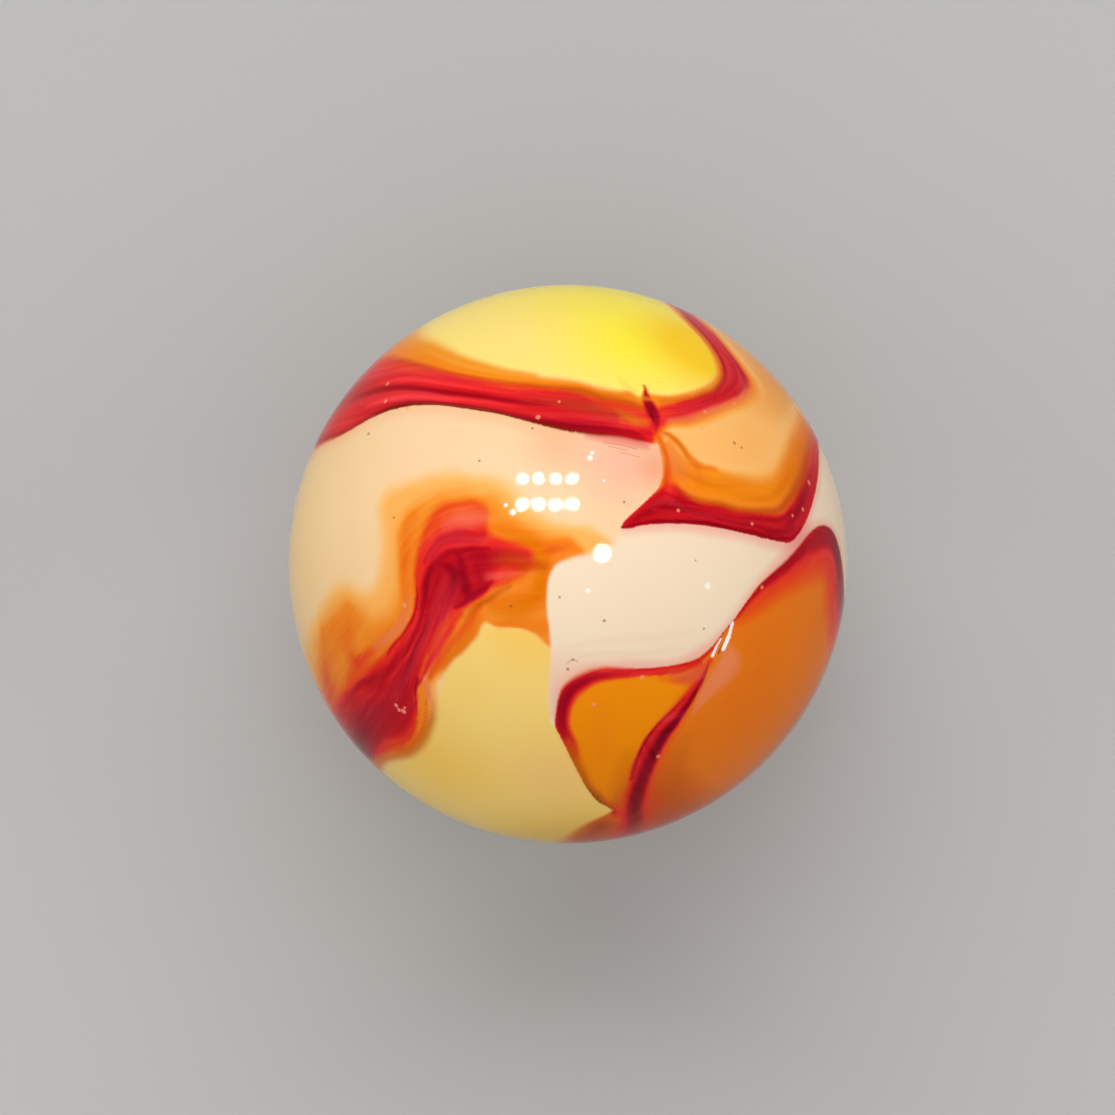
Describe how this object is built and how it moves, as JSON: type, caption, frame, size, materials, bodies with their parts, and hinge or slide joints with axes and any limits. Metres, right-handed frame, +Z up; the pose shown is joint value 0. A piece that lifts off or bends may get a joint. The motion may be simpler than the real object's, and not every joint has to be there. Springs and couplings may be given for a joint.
{
  "type": "glass marble",
  "caption": "Solid ball of opaque glass for play, polished, with cream, yellow, orange and red swirls and a small fold crease.",
  "frame": {"origin": "middle of the ball", "axes": "+Z up; -Y towards the front; the most patterned side of the ball, its face, looks up and 12 degrees towards -Y"},
  "size_m": [0.016, 0.016, 0.016],
  "materials": {
    "glass": "polished"
  },
  "bodies": {
    "root": {"marble": "glass"}
  },
  "joints": []
}
